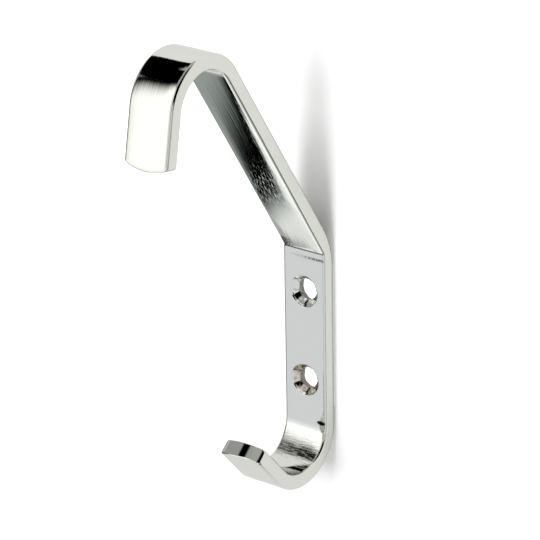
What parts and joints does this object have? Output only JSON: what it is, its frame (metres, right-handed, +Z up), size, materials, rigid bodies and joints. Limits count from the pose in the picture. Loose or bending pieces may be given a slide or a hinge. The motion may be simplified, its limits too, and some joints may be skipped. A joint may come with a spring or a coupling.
{
  "type": "wall hook",
  "caption": "Hat-and-coat wall hook bent from flat bar: upright plate with countersunk screw holes, slanted arm with a downturned tip above, small upturned hook below.",
  "frame": {"origin": "on the back face of the plate, midway between the two screw holes", "axes": "+X across the bar, to the right seen from the front; +Y into the wall; +Z up"},
  "size_m": [0.0134, 0.0657, 0.128],
  "materials": {
    "plating": "bright plated, lightly polished along the bar"
  },
  "bodies": {
    "root": {"hook_bar": "plating"}
  },
  "joints": []
}
